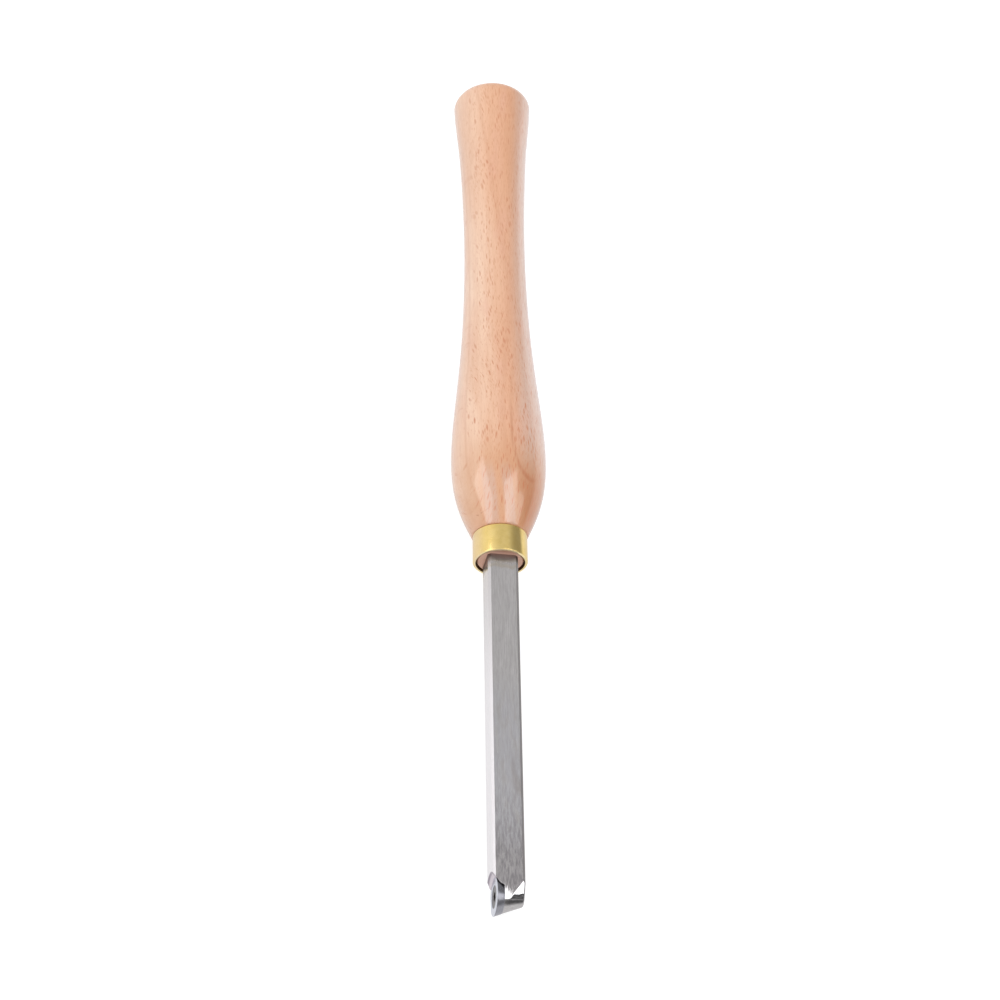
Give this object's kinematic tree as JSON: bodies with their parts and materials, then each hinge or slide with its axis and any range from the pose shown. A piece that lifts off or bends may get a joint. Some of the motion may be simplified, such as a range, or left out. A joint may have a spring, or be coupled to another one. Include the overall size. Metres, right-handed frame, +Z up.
{
  "type": "carbide turning tool",
  "caption": "Wood lathe hand tool: turned beech handle with brass ferrule, square steel bar and a round carbide cutter held in a pocket at its tip by a countersunk screw.",
  "frame": {"origin": "under the middle of the tool's length, at the height of the lowest point of the handle's belly", "axes": "+X along the tool's axis from the butt to the cutter, +Z up out of the bar's side face, and the cutter faces -Y"},
  "size_m": [0.3786, 0.0378, 0.0379],
  "materials": {
    "beech": "clear semi-gloss lacquer",
    "ferrule_brass": "turned and polished",
    "bar_steel": "ground along the bar",
    "glue": "set epoxy",
    "carbide": "ground and lapped",
    "screw_steel": "dark oiled"
  },
  "bodies": {
    "tool": {"handle": "beech", "ferrule": "ferrule_brass", "shank": "bar_steel", "tang_glue": "glue"},
    "cutter": {"cutter": "carbide"},
    "cutter_screw": {"cutter_screw": "screw_steel"}
  },
  "joints": [
    {"name": "cutter_index", "type": "hinge", "parent": "tool", "child": "cutter", "pos_m": [0.18225, -0.0018, 0.01893], "axis": [0, -1, 0], "continuous": true},
    {"name": "screw_withdraw", "type": "slide", "parent": "tool", "child": "cutter_screw", "axis": [0, -1, 0], "range_m": [0, 0.006]}
  ]
}
